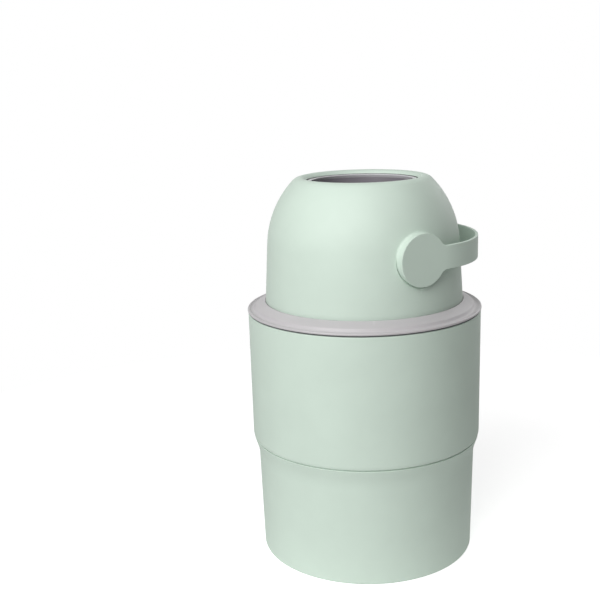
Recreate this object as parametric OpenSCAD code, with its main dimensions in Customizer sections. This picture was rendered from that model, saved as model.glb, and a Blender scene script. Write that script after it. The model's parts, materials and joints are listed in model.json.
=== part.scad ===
// Nappy bin with a turning drum: a two-part bucket, a domed head and a bail handle.
// The handle turns the drum half a turn. A weighted piston slides through the drum
// and pushes what lies in the mouth down into the bucket.
// Z is up. The origin is the middle of the flat base. The drum turns about X and the
// handle rests towards +Y, above the head's hinge.

/* [Bucket] */
// Height of the bucket's rim above the floor
bucket_h = 300; // [270:1:340]
// Outer radius of the bucket at its rim
rim_r = 140; // [134:0.5:150]
// How much smaller the barrel's radius is at the parting line than at the rim
barrel_taper = 1.6; // [1.3:0.1:2.4]
// Height of the parting line between the lower tub and the upper barrel
seam_z = 144.5; // [120:0.5:170]
// Height of the sloped shoulder below the parting line
shoulder_h = 17.5; // [12:0.5:22]
// How far the shoulder steps in below the parting line
shoulder_w = 5.5; // [4.4:0.1:6.9]
// How much smaller the tub's radius is at the floor than under the shoulder
tub_taper = 3; // [2:0.1:8]
// Wall thickness of the two bucket parts
bucket_wall = 2.6; // [2:0.1:3.2]
// Thickness of the tub's floor
floor_t = 3; // [2.5:0.1:5]
// Radius of the edge round the foot
foot_round = 3; // [3:0.5:8]
// Height of the tub's neck inside the barrel
neck_h = 28; // [18:1:40]

/* [Bag ring] */
// Width of the bag ring
bag_ring_w = 17; // [13:0.5:21]
// Height of the bag ring's upstand
bag_ring_h = 11; // [8:0.5:12]
// Depth of the ledge that carries the bag ring, below the rim
ledge_depth = 25; // [24:0.5:30]

/* [Collar] */
// How far the collar stands out past the bucket's rim
collar_overhang = 0.8; // [0.4:0.1:1.6]
// Height of the shadow gap between bucket and collar
collar_gap = 1.2; // [0.8:0.1:2]
// Height of the collar's outer edge
collar_edge_h = 3.2; // [2.8:0.1:4]
// Height of the dome's foot above the collar's underside
collar_rise = 11; // [9.5:0.5:13]
// Depth of the collar's skirt inside the bucket
skirt_h = 10.5; // [9:0.5:11.5]
// Thickness of the collar's walls
collar_wall = 2.6; // [2.2:0.1:3]

/* [Dome] */
// Height of the pivot axis above the bucket's rim
pivot_rise = 75.5; // [74:0.5:80]
// How far the dome's foot stands inside the bucket's rim
dome_inset = 21.4; // [20.6:0.2:22.6]
// How much smaller the radius of the dome's round part is than that of its foot
dome_taper = 4; // [3:0.2:6]
// Wall thickness of the dome
dome_wall = 3; // [2.4:0.1:3.4]
// How far the mouth's edge stands inside the dome's round part
mouth_inset = 47.8; // [46:0.2:50]
// Outer radius of the round where the dome turns in to the mouth
brow_round = 13.5; // [11:0.5:15]
// Outer radius of the lip that rolls down into the mouth
lip_round = 6.6; // [5.5:0.1:7.5]
// Radius of the flat pads that the pivot discs turn on
pad_r = 29.5; // [27:0.5:30]

/* [Drum] */
// Running gap between the drum and the dome's lip
drum_gap = 1; // [0.7:0.1:1.6]
// Wall thickness of the drum's round shell
drum_wall = 2.5; // [2:0.1:3]
// Gap between the mouth ring and the dome's lip
ring_gap = 1.5; // [1:0.1:2]
// Width of each mouth ring
ring_w = 4.4; // [4:0.1:5]
// Height of each mouth ring
ring_h = 4; // [3.4:0.1:5]
// How far each mouth ring stands into the chute, to stop the piston
ring_stop = 1.5; // [1.2:0.1:2]
// Wall thickness of the chute through the drum
chute_wall = 2; // [1.6:0.1:2.4]

/* [Piston] */
// Height of the piston
piston_h = 26; // [22:1:36]
// Gap between the piston's body and the chute
piston_gap = 0.6; // [0.5:0.1:0.9]
// Thickness of the steel weight inside the piston
weight_t = 6; // [4:0.5:8]
// Gap between the steel weight and the screw posts beside it
weight_room = 5.3; // [2:0.1:12]

/* [Handle] */
// How far the outer face of a pivot disc stands out past the dome's round part
disc_proud = 6.9; // [6.2:0.1:8.4]
// Radius of a pivot disc
disc_r = 30.2; // [27:0.1:31]
// Height of the handle's band
band_h = 27; // [22:0.5:32]
// Thickness of the handle's band
band_t = 3.4; // [2.6:0.1:3.4]
// Length of the straight part of the band beside each disc
band_straight = 28.5; // [22:0.5:34]
// How much smaller the outer radius of the band's side bends is than the disc's reach
band_bend_in = 21.5; // [14:0.5:30]
// Radius of the fillets between disc and band
neck_fillet = 11; // [6:0.5:14]

/* [Pivot] */
// Radius of the stub axles
axle_r = 9; // [7:0.5:10]
// Thickness of the bearing bushes round the axles
bush_t = 3; // [2:0.5:4]
// Radial running clearance of an axle in its bush
axle_clear = 0.05; // [0.02:0.01:0.1]

/* [Hinge] */
// Radius of the hinge pin
pin_r = 2; // [1.5:0.1:2.5]
// Outer radius of the hinge knuckles
knuckle_r = 4.5; // [4:0.1:5]
// Width of the middle knuckle, on the head
knuckle_w = 23; // [16:1:30]
// Width of each outer knuckle, on the bucket
ear_w = 9; // [6:1:12]

/* [Hidden] */
$fn = 96;

sage = "#c6d6cc";
collar_grey = "#bab7ba";
ring_grey = "#c4c3c6";
chute_grey = "#6f6c72";
rubber_grey = "#4c4f50";
steel = "#b9bcc0";
nylon = "#eceae4";

// Clearances
slip = 0.3;        // between bodies that move past each other
push_fit = 0.05;   // between pieces pressed together
far = 400;         // longer than any piece, for half spaces

// Radii that follow the rim
seam_r = rim_r - barrel_taper;
tub_top_r = seam_r - shoulder_w;
base_r = tub_top_r - tub_taper;
ledge_r = rim_r - bucket_wall - 9.5;
bag_out_r = rim_r - bucket_wall - 2.4;
bag_hole_r = bag_out_r - bag_ring_w;
dome_foot_r = rim_r - dome_inset;
dome_r = dome_foot_r - dome_taper;
mouth_r = dome_r - mouth_inset;
disc_face = dome_r + disc_proud;
band_bend_r = disc_face - band_bend_in;

// Heights
collar_z = bucket_h + collar_gap;
dome_z = collar_z + collar_rise;
pivot_z = bucket_h + pivot_rise;
ledge_z = bucket_h - ledge_depth;

// Dome lip, seen in section with the pivot axis at height 0
lip_end_angle = 160;
crest_r = mouth_r - lip_round * cos(lip_end_angle);
brow_z = sqrt(pow(dome_r - brow_round, 2) - pow(crest_r, 2));
brow_angle = atan2(brow_z, crest_r);
crest_z = brow_z + brow_round;
roll_z = crest_z - lip_round;
lip_end_z = roll_z + lip_round * sin(lip_end_angle);

// Dome side: a cone from the foot that meets the round part without a corner
foot_drop = pivot_z - dome_z;
foot_reach = norm([dome_foot_r, foot_drop]);
cone_angle = acos(dome_r / foot_reach) - atan2(foot_drop, dome_foot_r);

// Drum
drum_r = norm([mouth_r, lip_end_z]) - drum_gap;
ring_r = mouth_r - ring_gap;
ring_hole_r = ring_r - ring_w;
chute_r = ring_hole_r + ring_stop;
chute_out_r = chute_r + chute_wall;
ring_top = sqrt(pow(drum_r, 2) - pow(ring_r, 2)) - 0.2;
ring_seat = ring_top - ring_h;
sleeve_r = chute_out_r + 2.5;
sleeve_low = ring_seat - 14;

// Pivot
hub_face = drum_r + 2.5;
bush_flange_t = 1.2;
bush_r = axle_r + axle_clear + bush_t;
bush_flange_r = bush_r + 2.5;
hub_r = bush_flange_r + 8;
pad_face = disc_face - 4.4;
disc_back = pad_face + 0.4;
stop_in_r = bush_flange_r + 1;
stop_w = 4;
moving_stop_angle = 20;
stop_play = 0.9;
axle_flange_t = 3;
axle_flange_r = axle_r + 4;
axle_flange_x = drum_r - 12;
clip_t = 1.2;
hub_wall = 1.6;
clip_x = axle_flange_x - hub_wall - clip_t - 0.2;
axle_start = clip_x - 1;
socket_depth = 2.2;
axle_end = disc_back + socket_depth - 0.1;

// Handle plan: a straight side, a bend and a wide arc across the back
band_bend_angle = 45;
band_bend_x = disc_face - band_bend_r;
band_back_shift = band_bend_x / cos(band_bend_angle);
band_back_r = band_bend_r + band_back_shift;
band_back_y = band_straight - band_back_shift * sin(band_bend_angle);
band_edge = 1;

// Head fixing
screw_count = 6;
screw_circle = dome_foot_r - dome_wall - 3.8;
post_r = 4.4;
floor_plate_t = 3;
floor_z = collar_z - skirt_h - 1;
flange_z = dome_z - collar_wall;
skirt_out_r = rim_r - bucket_wall - 2.9;
seal_in_r = mouth_r + 5.4;
seal_w = 4.6;

// Piston
piston_r = chute_r - piston_gap;
piston_low = -ring_seat + slip;
cup_wall = 2.4;
wiper_h = 2.6;
wiper_depth = 2.4;
piston_screw_r = piston_r - cup_wall - wiper_depth - 3.5;
piston_post_r = 4.2;
weight_r = piston_screw_r - piston_post_r - weight_room;

// Hinge
hinge_y = rim_r + knuckle_r + 1.7;
hinge_z = bucket_h - knuckle_r - 2.2;
pin_clear = 0.05;

// ---- Section helpers: X is the radius, Y the height ----

// Part of a round wall, between two angles less than 180 degrees apart
module arc_wall(centre, outer_r, wall, from, to) {
    reach = 2 * outer_r;
    middle = (from + to) / 2;
    translate(centre)
        intersection() {
            difference() {
                circle(r = outer_r);
                circle(r = outer_r - wall);
            }
            polygon([[0, 0],
                     [reach * cos(from), reach * sin(from)],
                     [reach * cos(middle), reach * sin(middle)],
                     [reach * cos(to), reach * sin(to)]]);
        }
}

// A rectangle with round corners
module round_rect(w, h, r) {
    for (x = [r, w - r], y = [r, h - r]) translate([x, y]) circle(r = r);
    translate([r, 0]) square([w - 2 * r, h]);
    translate([0, r]) square([w, h - 2 * r]);
}

// A ring of rectangular section
module ring(inner, outer, z, h) {
    translate([0, 0, z])
        rotate_extrude() translate([inner, 0]) square([outer - inner, h]);
}

// Lifts a piece drawn about the pivot to its place
module at_pivot() {
    translate([0, 0, pivot_z]) children();
}

// Turns a piece drawn along Z, so that it lies along X on one side: 1 right, -1 left
module along_x(side) {
    rotate([0, side * 90, 0]) children();
}

// Copies of a piece round the Z axis
module spread(count, first) {
    for (i = [0:count - 1]) rotate([0, 0, first + i * 360 / count]) children();
}

// ---- Bucket ----

groove = 0.8;

module lower_tub() {
    shoulder_z = seam_z - shoulder_h;
    neck_r = seam_r - bucket_wall + 0.6;
    color(sage) difference() {
        rotate_extrude() {
            difference() {
                union() {
                    polygon([[0, 0], [base_r - foot_round, 0], [base_r, foot_round],
                             [tub_top_r, shoulder_z], [seam_r, seam_z - groove],
                             [seam_r - groove, seam_z], [neck_r, seam_z],
                             [neck_r, seam_z + neck_h], [0, seam_z + neck_h]]);
                    translate([base_r - foot_round, foot_round]) circle(r = foot_round);
                }
                polygon([[0, floor_t], [base_r - bucket_wall - 4, floor_t],
                         [base_r - bucket_wall, floor_t + 4],
                         [tub_top_r - bucket_wall, shoulder_z + 1],
                         [neck_r - bucket_wall, seam_z - 1],
                         [neck_r - bucket_wall, seam_z + neck_h + 1],
                         [0, seam_z + neck_h + 1]]);
            }
        }
        // Shallow recess that leaves a centre pad and a foot ring to stand on
        ring(base_r * 0.3, base_r - foot_round - 9, -1, 1 + floor_t / 3);
    }
}

module upper_barrel() {
    edge_round = 3;
    top_r = 1;
    low_wall_z = seam_z + edge_round + 1;
    low_r = seam_r + barrel_taper / 2;
    color(sage) {
        rotate_extrude() difference() {
            union() {
                polygon([[seam_r - groove - 1, seam_z], [seam_r - groove, seam_z],
                         [low_r - 0.7, seam_z + groove], [low_r, low_wall_z],
                         [rim_r, bucket_h - top_r], [rim_r - top_r, bucket_h],
                         [rim_r - bucket_wall, bucket_h],
                         [rim_r - bucket_wall, ledge_z - 8],
                         [low_r - bucket_wall, low_wall_z]]);
                translate([rim_r - top_r, bucket_h - top_r]) circle(r = top_r);
                // Ledge that carries the bag ring
                polygon([[ledge_r, ledge_z],
                         [rim_r - 1, ledge_z],
                         [rim_r - 1.5, ledge_z - 13],
                         [ledge_r, ledge_z - 3]]);
            }
        }
        difference() {
            for (side = [-1, 1]) hinge_ear(side);
            translate([-far / 2, hinge_y, hinge_z])
                rotate([0, 90, 0]) cylinder(r = pin_r, h = far);
        }
    }
}

// One fixed knuckle with its gusset on the bucket's wall
module hinge_ear(side) {
    low = hinge_z - 14;
    translate([side * (knuckle_w / 2 + slip + ear_w / 2) - ear_w / 2, 0, 0])
        rotate([90, 0, 90]) linear_extrude(ear_w) {
            translate([hinge_y, hinge_z]) circle(r = knuckle_r);
            polygon([[rim_r - 1.6, low], [rim_r - 1.6, hinge_z + knuckle_r],
                     [hinge_y, hinge_z + knuckle_r],
                     [hinge_y + knuckle_r * cos(35), hinge_z - knuckle_r * sin(35)]]);
        }
}

module bag_ring() {
    color(ring_grey) rotate_extrude() {
        translate([bag_hole_r, ledge_z]) square([bag_ring_w, 2.6]);
        translate([bag_out_r - 2.4, ledge_z]) square([2.4, bag_ring_h]);
        translate([bag_hole_r, ledge_z - 4]) square([2.4, 6.6]);
    }
}

module hinge_pin() {
    half = knuckle_w / 2 + slip + ear_w;
    color(steel) translate([-half, hinge_y, hinge_z])
        rotate([0, 90, 0]) cylinder(r = pin_r, h = 2 * half);
}

// ---- Head ----

module collar_ring() {
    edge_r = rim_r + collar_overhang;
    bead_r = 1.8;
    bead_z = collar_z + collar_edge_h - bead_r;
    inner_r = screw_circle - post_r - 1;
    cove_r = 6;
    cove = [edge_r - 5.4, collar_z + collar_edge_h + cove_r - 1.1];
    color(collar_grey) difference() {
        union() {
            rotate_extrude() difference() {
                union() {
                    polygon([[inner_r, flange_z], [dome_foot_r + 0.3, flange_z],
                             [edge_r - 9, collar_z], [edge_r, collar_z],
                             [edge_r, bead_z], [edge_r - bead_r, bead_z + bead_r],
                             [edge_r - 7, collar_z + collar_edge_h],
                             [dome_foot_r + 0.9, dome_z + 0.5],
                             [dome_foot_r + 0.4, dome_z + 0.2],
                             [dome_foot_r + 0.4, dome_z], [inner_r, dome_z]]);
                    translate([edge_r - bead_r, bead_z]) circle(r = bead_r);
                    translate([skirt_out_r - collar_wall, collar_z - skirt_h])
                        square([collar_wall, skirt_h + 1.5]);
                }
                translate(cove) circle(r = cove_r);
                // Seat of the gasket
                translate([gasket_in_r, collar_z - 1]) square([gasket_w, 1 + gasket_seat]);
            }
            hinge_leaf();
        }
        spread(screw_count, 30) translate([screw_circle, 0, flange_z - 1])
            cylinder(r = 2.2, h = collar_wall + 2);
        translate([-far / 2, hinge_y, hinge_z])
            rotate([0, 90, 0]) cylinder(r = pin_r + pin_clear, h = far);
    }
}

gasket_w = 2.4;
gasket_in_r = rim_r - bucket_wall / 2 - gasket_w / 2;
gasket_seat = 0.8;

// Moving knuckle and the arm that joins it to the collar's edge
module hinge_leaf() {
    arm_in = rim_r + 0.9;
    foot_in = gasket_in_r + gasket_w + 0.2;
    foot_z = collar_z + gasket_seat + 0.2;
    translate([-knuckle_w / 2, 0, 0])
        rotate([90, 0, 90]) linear_extrude(knuckle_w) {
            translate([hinge_y, hinge_z]) circle(r = knuckle_r);
            polygon([[arm_in, hinge_z], [arm_in, collar_z],
                     [foot_in, collar_z], [foot_in, foot_z],
                     [rim_r - 1.6, foot_z], [rim_r - 1.6, collar_z + 2],
                     [rim_r + 2, collar_z + 2],
                     [hinge_y + knuckle_r, hinge_z + 1], [hinge_y + knuckle_r, hinge_z]]);
        }
}

module collar_gasket() {
    color(rubber_grey)
        ring(gasket_in_r, gasket_in_r + gasket_w, bucket_h + slip, collar_gap - slip + gasket_seat);
}

module dome_shell() {
    wall_start = 45;   // the revolved wall starts and ends between pad and back
    color(sage) at_pivot() difference() {
        union() {
            rotate([0, 0, wall_start]) rotate_extrude() dome_section();
            for (side = [-1, 1]) {
                pivot_pad(side);
                fixed_stop(side);
            }
            spread(screw_count, 30) translate([screw_circle, 0, -foot_drop])
                cylinder(r = post_r, h = 12);
        }
        for (side = [-1, 1]) along_x(side) cylinder(r = bush_r + push_fit, h = far);
        spread(screw_count, 30) translate([screw_circle, 0, -foot_drop - 1])
            cylinder(r = 1.5, h = 10);
    }
}

module dome_section() {
    cone_top = [dome_r * cos(cone_angle), dome_r * sin(cone_angle)];
    in = dome_r - dome_wall;
    polygon([cone_top, [dome_foot_r, -foot_drop], [dome_foot_r - dome_wall, -foot_drop],
             [in * cos(cone_angle), in * sin(cone_angle)]]);
    arc_wall([0, 0], dome_r, dome_wall, cone_angle, brow_angle);
    arc_wall([crest_r, brow_z], brow_round, dome_wall, brow_angle, 90);
    arc_wall([crest_r, roll_z], lip_round, dome_wall, 90, lip_end_angle);
    // Land that carries the seal under the mouth's lip
    translate([seal_in_r, seal_land_z])
        square([seal_w, crest_z - dome_wall / 2 - seal_land_z]);
}

seal_land_z = crest_z - dome_wall - 2;

// Flat pad outside and boss inside, round a pivot
module pivot_pad(side) {
    pad_back = dome_r - dome_wall - 5;
    along_x(side) {
        translate([0, 0, pad_back]) cylinder(r = pad_r, h = pad_face - pad_back);
        translate([0, 0, hub_face]) cylinder(r = hub_r, h = pad_back + 1 - hub_face);
    }
}

// Part of a ring about the X axis, between two angles counted from +Y towards +Z
module stop_arc(side, x, h, from, to) {
    translate([side > 0 ? x : -x - h, 0, 0])
        rotate([90, 0, 90]) rotate([0, 0, from])
            rotate_extrude(angle = to - from)
                translate([stop_in_r, 0]) square([stop_w, h]);
}

module fixed_stop(side) {
    half = 90 - moving_stop_angle - stop_play;
    stop_arc(side, hub_face - 1.6, 2, -half, half);
}

module head_floor() {
    color(ring_grey) difference() {
        union() {
            ring(mouth_r + 0.6, skirt_out_r - collar_wall - push_fit, floor_z, floor_plate_t);
            ring(mouth_r + 0.6, seal_in_r - 1, floor_z, floor_plate_t + 2.5);
            spread(screw_count, 30) translate([screw_circle, 0, floor_z])
                cylinder(r = post_r, h = flange_z - floor_z);
        }
        spread(screw_count, 30) translate([screw_circle, 0, floor_z - 1]) {
            cylinder(r = 2.2, h = far / 4);
            cylinder(r = 3.9, h = 4);
        }
    }
}

module head_screws() {
    head_z = floor_z + 3;
    color(steel) spread(screw_count, 30) translate([screw_circle, 0, 0]) {
        translate([0, 0, head_z]) difference() {
            translate([0, 0, -2.4]) cylinder(r = 3.4, h = 2.4);
            translate([0, 0, -2.5]) cylinder(r = 1.3, h = 1.3, $fn = 6);
        }
        translate([0, 0, head_z]) cylinder(r = 1.5, h = dome_z + 8 - head_z);
    }
}

// Lip seal that reaches from a flat land towards the drum's round shell
module lip_seal(land) {
    tip_r = seal_in_r + 1.4;
    reach = drum_r + slip;
    tip_z = sqrt(pow(reach, 2) - pow(tip_r, 2));
    back_z = sqrt(pow(reach, 2) - pow(tip_r + 1.6, 2));
    rotate_extrude()
        polygon([[seal_in_r, land], [seal_in_r, land - 1.4], [tip_r, tip_z + 1],
                 [tip_r, tip_z], [tip_r + 1.6, back_z + 0.6], [seal_in_r + seal_w, land - 1.4],
                 [seal_in_r + seal_w, land]]);
}

module mouth_seal() {
    color(rubber_grey) at_pivot() lip_seal(seal_land_z);
}

module outlet_seal() {
    color(rubber_grey) at_pivot() mirror([0, 0, 1])
        lip_seal(pivot_z - floor_z - floor_plate_t);
}

module pivot_bush(side) {
    color(nylon) at_pivot() along_x(side) difference() {
        union() {
            translate([0, 0, hub_face]) cylinder(r = bush_r, h = pad_face - hub_face);
            translate([0, 0, hub_face - bush_flange_t])
                cylinder(r = bush_flange_r, h = bush_flange_t);
        }
        cylinder(r = axle_r + axle_clear, h = far);
    }
}

module pivot_bush_left() { pivot_bush(-1); }

module pivot_bush_right() { pivot_bush(1); }

// ---- Drum ----

module drum_shell() {
    difference() {
        union() {
            intersection() {
                sphere(r = drum_r);
                union() {
                    difference() {
                        cylinder(r = far, h = far, center = true);
                        sphere(r = drum_r - drum_wall);
                    }
                    // Sleeves that hold the ends of the chute
                    for (end = [0, 1]) mirror([0, 0, end])
                        ring(chute_out_r, sleeve_r, sleeve_low, far);
                    // Hubs that hold the axles
                    for (side = [-1, 1]) along_x(side)
                        translate([0, 0, axle_flange_x - hub_wall])
                            cylinder(r = axle_flange_r + 3, h = far);
                    // Bosses for the screws between the halves
                    spread(4, 45) translate([drum_screw_circle, 0, 0])
                        cylinder(r = 4.4, h = 28, center = true);
                }
            }
            for (side = [-1, 1])
                stop_arc(side, drum_r - 6, hub_face - drum_r + 6 - 0.4,
                         90 - moving_stop_angle, 90 + moving_stop_angle);
        }
        cylinder(r = chute_out_r + push_fit, h = far, center = true);
        for (end = [0, 1]) mirror([0, 0, end])
            translate([0, 0, ring_seat]) cylinder(r = ring_r + push_fit, h = far);
        for (side = [-1, 1]) along_x(side) {
            cylinder(r = axle_r + push_fit, h = far);
            translate([0, 0, axle_flange_x - push_fit])
                cylinder(r = axle_flange_r + push_fit, h = axle_flange_t + 2 * push_fit);
        }
        spread(4, 45) translate([drum_screw_circle, 0, -far / 2]) {
            cylinder(r = 1.6, h = far / 2 + drum_screw_l - drum_screw_drop + 1);
            cylinder(r = 3.2, h = far / 2 - drum_screw_drop);
        }
    }
}

drum_screw_circle = drum_r - drum_wall - 4.2;
drum_screw_drop = 8;
drum_screw_l = 17;

module drum_upper_half() {
    color(chute_grey) at_pivot() intersection() {
        drum_shell();
        translate([-far / 2, -far / 2, 0]) cube(far);
    }
}

module drum_lower_half() {
    color(chute_grey) at_pivot() intersection() {
        drum_shell();
        translate([-far / 2, -far / 2, -far]) cube(far);
    }
}

module drum_screws() {
    head_h = 2;
    color(steel) at_pivot() spread(4, 45) translate([drum_screw_circle, 0, -drum_screw_drop]) {
        translate([0, 0, -head_h]) cylinder(r = 2.8, h = head_h);
        cylinder(r = 1.5, h = drum_screw_l);
    }
}

module chute_liner() {
    color(chute_grey) at_pivot() ring(chute_r, chute_out_r, -ring_seat, 2 * ring_seat);
}

// Full-round bead on a flat washer that rims one end of the chute
module mouth_ring() {
    bead = ring_w / 2;
    color(ring_grey) rotate_extrude() {
        translate([ring_hole_r, ring_seat]) square([ring_w, ring_h - bead]);
        intersection() {
            translate([ring_hole_r + bead, ring_top - bead]) circle(r = bead);
            translate([ring_hole_r, ring_seat]) square([ring_w, ring_h]);
        }
    }
}

module mouth_ring_upper() { at_pivot() mouth_ring(); }

module mouth_ring_lower() { at_pivot() mirror([0, 0, 1]) mouth_ring(); }

module axle(side) {
    flat = axle_r * 0.65;
    color(nylon) at_pivot() along_x(side) difference() {
        union() {
            translate([0, 0, axle_flange_x])
                cylinder(r = axle_flange_r, h = axle_flange_t);
            translate([0, 0, axle_start]) cylinder(r = axle_r, h = axle_end - axle_start);
        }
        // Groove for the clip and the flat that keys the handle
        translate([0, 0, clip_x]) difference() {
            cylinder(r = axle_r + 1, h = clip_t + push_fit);
            cylinder(r = axle_r - 1.5, h = 2 * clip_t + 1);
        }
        translate([-side * flat - (side > 0 ? axle_r : 0), -axle_r, disc_back])
            cube([axle_r, 2 * axle_r, far]);
    }
}

module axle_left() { axle(-1); }

module axle_right() { axle(1); }

module axle_clips() {
    color(steel) at_pivot() for (side = [-1, 1]) along_x(side)
        translate([0, 0, clip_x + push_fit / 2]) difference() {
            cylinder(r = axle_r + 2.5, h = clip_t);
            cylinder(r = axle_r - 1.5, h = 3 * clip_t, center = true);
        }
}

// ---- Handle ----

module handle() {
    color(sage) at_pivot() difference() {
        union() {
            for (side = [-1, 1]) {
                along_x(side) rotate_extrude() disc_section();
                neck(side);
                band_side(side);
            }
            band_back();
        }
        for (side = [-1, 1]) along_x(side) difference() {
            translate([0, 0, disc_back - 1]) cylinder(r = axle_r + push_fit, h = 1 + socket_depth);
            translate([-side * (axle_r * 0.65 + push_fit) - (side > 0 ? axle_r : 0), -axle_r, disc_back])
                cube([axle_r, 2 * axle_r, far]);
        }
    }
}

// Section of a pivot disc, with a rounded edge on its face
module disc_section() {
    face_round = 1.6;
    thick = disc_face - disc_back;
    translate([0, disc_back]) square([disc_r - face_round, thick]);
    translate([0, disc_back]) square([disc_r, thick - face_round]);
    translate([disc_r - face_round, disc_face - face_round]) circle(r = face_round);
}

// Straight part of the band beside a disc, with its fillets
module neck(side) {
    blend_y = sqrt(pow(disc_r + neck_fillet, 2) - pow(band_h / 2 + neck_fillet, 2));
    translate([side > 0 ? disc_face - band_t : -disc_face, 0, 0])
        rotate([90, 0, 90]) linear_extrude(band_t)
            for (up = [-1, 1]) scale_y(up) difference() {
                polygon([[0, 0], [blend_y, 0], [blend_y, band_h / 2],
                         [blend_y * disc_r / (disc_r + neck_fillet),
                          (band_h / 2 + neck_fillet) * disc_r / (disc_r + neck_fillet)]]);
                translate([blend_y, band_h / 2 + neck_fillet]) circle(r = neck_fillet);
            }
    band_run(side);
}

// Mirrors a section up or down
module scale_y(up) {
    if (up > 0) children();
    else mirror([0, 1, 0]) children();
}

// Section of the band, with its outer face at X = 0
module band_section() {
    translate([-band_t, -band_h / 2]) round_rect(band_t, band_h, band_edge);
}

module band_run(side) {
    start = disc_r * 0.8;
    mirror([side > 0 ? 0 : 1, 0, 0]) translate([disc_face, band_straight, 0])
        rotate([90, 0, 0]) linear_extrude(band_straight - start) band_section();
}

module band_side(side) {
    mirror([side > 0 ? 0 : 1, 0, 0]) translate([band_bend_x, band_straight, 0])
        rotate_extrude(angle = band_bend_angle)
            translate([band_bend_r, 0]) band_section();
}

module band_back() {
    translate([0, band_back_y, 0]) rotate([0, 0, band_bend_angle])
        rotate_extrude(angle = 180 - 2 * band_bend_angle)
            translate([band_back_r, 0]) band_section();
}

// ---- Piston ----

half_h = piston_h / 2;

// One cup of the piston, drawn with its closed face down at height 0
module piston_cup() {
    edge = 3;
    dish_depth = 0.6;
    color(ring_grey) difference() {
        union() {
            rotate_extrude() difference() {
                union() {
                    square([piston_r - edge, half_h]);
                    translate([0, edge]) square([piston_r, half_h - edge]);
                    translate([piston_r - edge, edge]) circle(r = edge);
                }
                translate([0, cup_wall]) square([piston_r - cup_wall - wiper_depth, far]);
                translate([piston_r - wiper_depth, half_h - wiper_h - 2])
                    square([wiper_depth + 1, wiper_h]);
            }
            spread(3, 30) translate([piston_screw_r, 0, cup_wall / 2])
                cylinder(r = piston_post_r, h = half_h - cup_wall / 2);
        }
        // Shallow dish in the closed face
        translate([0, 0, -1]) cylinder(r = piston_r - 12, h = 1 + dish_depth);
        spread(3, 30) translate([piston_screw_r, 0, cup_wall * 1.5])
            cylinder(r = 1.6, h = far);
    }
}

module at_piston() {
    translate([0, 0, pivot_z + piston_low]) children();
}

module piston_lower_cup() { at_piston() piston_cup(); }

module piston_upper_cup() {
    at_piston() translate([0, 0, piston_h]) mirror([0, 0, 1]) piston_cup();
}

module piston_screws() {
    color(steel) at_piston() spread(3, 30)
        translate([piston_screw_r, 0, cup_wall * 1.5 + push_fit])
            cylinder(r = 1.6, h = piston_h - 3 * cup_wall - 2 * push_fit);
}

// Round weight that lies on the lower cup's floor
module piston_weight() {
    color(steel) at_piston() translate([0, 0, cup_wall]) difference() {
        cylinder(r = weight_r, h = weight_t);
        translate([0, 0, -1]) cylinder(r = 6, h = weight_t + 2);
    }
}

// Wiper lip that fills a cup's groove and reaches close to the chute
module wiper() {
    color(rubber_grey)
        ring(piston_r - wiper_depth, chute_r - slip, half_h - wiper_h - 2, wiper_h);
}

module wiper_lower() { at_piston() wiper(); }

module wiper_upper() {
    at_piston() translate([0, 0, piston_h]) mirror([0, 0, 1]) wiper();
}

lower_tub();
upper_barrel();
bag_ring();
hinge_pin();
collar_ring();
collar_gasket();
dome_shell();
head_floor();
head_screws();
mouth_seal();
outlet_seal();
pivot_bush_left();
pivot_bush_right();
drum_upper_half();
drum_lower_half();
drum_screws();
chute_liner();
mouth_ring_upper();
mouth_ring_lower();
axle_left();
axle_right();
axle_clips();
handle();
piston_upper_cup();
piston_lower_cup();
piston_weight();
piston_screws();
wiper_upper();
wiper_lower();
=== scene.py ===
"""Looks for a nappy bin with a turning drum.

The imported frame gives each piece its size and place. This file adds the moulded detail,
the finishes and a plain studio. Lengths are in metres, Z is up, and X is the drum's axis.
"""

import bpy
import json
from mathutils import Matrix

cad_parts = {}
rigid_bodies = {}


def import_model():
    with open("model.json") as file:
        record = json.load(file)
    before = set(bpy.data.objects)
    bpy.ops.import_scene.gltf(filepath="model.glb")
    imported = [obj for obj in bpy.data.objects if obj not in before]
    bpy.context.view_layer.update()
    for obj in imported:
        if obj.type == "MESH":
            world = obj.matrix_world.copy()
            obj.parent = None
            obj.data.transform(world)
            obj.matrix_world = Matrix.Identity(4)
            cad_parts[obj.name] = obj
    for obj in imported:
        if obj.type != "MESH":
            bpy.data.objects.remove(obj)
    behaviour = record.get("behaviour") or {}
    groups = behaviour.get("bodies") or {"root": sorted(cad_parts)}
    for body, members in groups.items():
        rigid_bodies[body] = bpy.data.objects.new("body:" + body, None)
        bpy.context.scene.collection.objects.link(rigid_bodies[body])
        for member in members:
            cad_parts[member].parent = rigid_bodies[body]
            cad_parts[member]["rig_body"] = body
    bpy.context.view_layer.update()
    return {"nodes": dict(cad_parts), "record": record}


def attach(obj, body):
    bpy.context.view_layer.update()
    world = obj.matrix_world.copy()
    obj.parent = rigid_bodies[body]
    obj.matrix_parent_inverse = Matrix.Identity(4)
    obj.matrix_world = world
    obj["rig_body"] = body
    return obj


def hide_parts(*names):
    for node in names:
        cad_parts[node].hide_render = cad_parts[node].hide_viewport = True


bl_info = {
    "name": "Nappy Bin Looks",
    "version": (1, 0, 0),
    "blender": (4, 5, 0),
    "location": "View3D > Sidebar > Nappy Bin",
    "description": "Moulded pieces, finishes and a studio for a nappy bin with a turning drum",
    "category": "Object",
}

import json
import math

import bmesh
import bpy
from mathutils import Matrix, Vector

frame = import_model()
MM = 0.001
# Lengths and shares smaller than this count as nothing
TINY = 1e-6
# Faces that turn by more than this many degrees meet in a hard edge
CREASE = 35
HANDLE_CREASE = 50
# Size of the slow changes in tone and in gloss over a moulded surface, in millimetres
DRIFT_MM = 45
SMEAR_MM = 12


# ---- Colour and nodes ----

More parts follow.
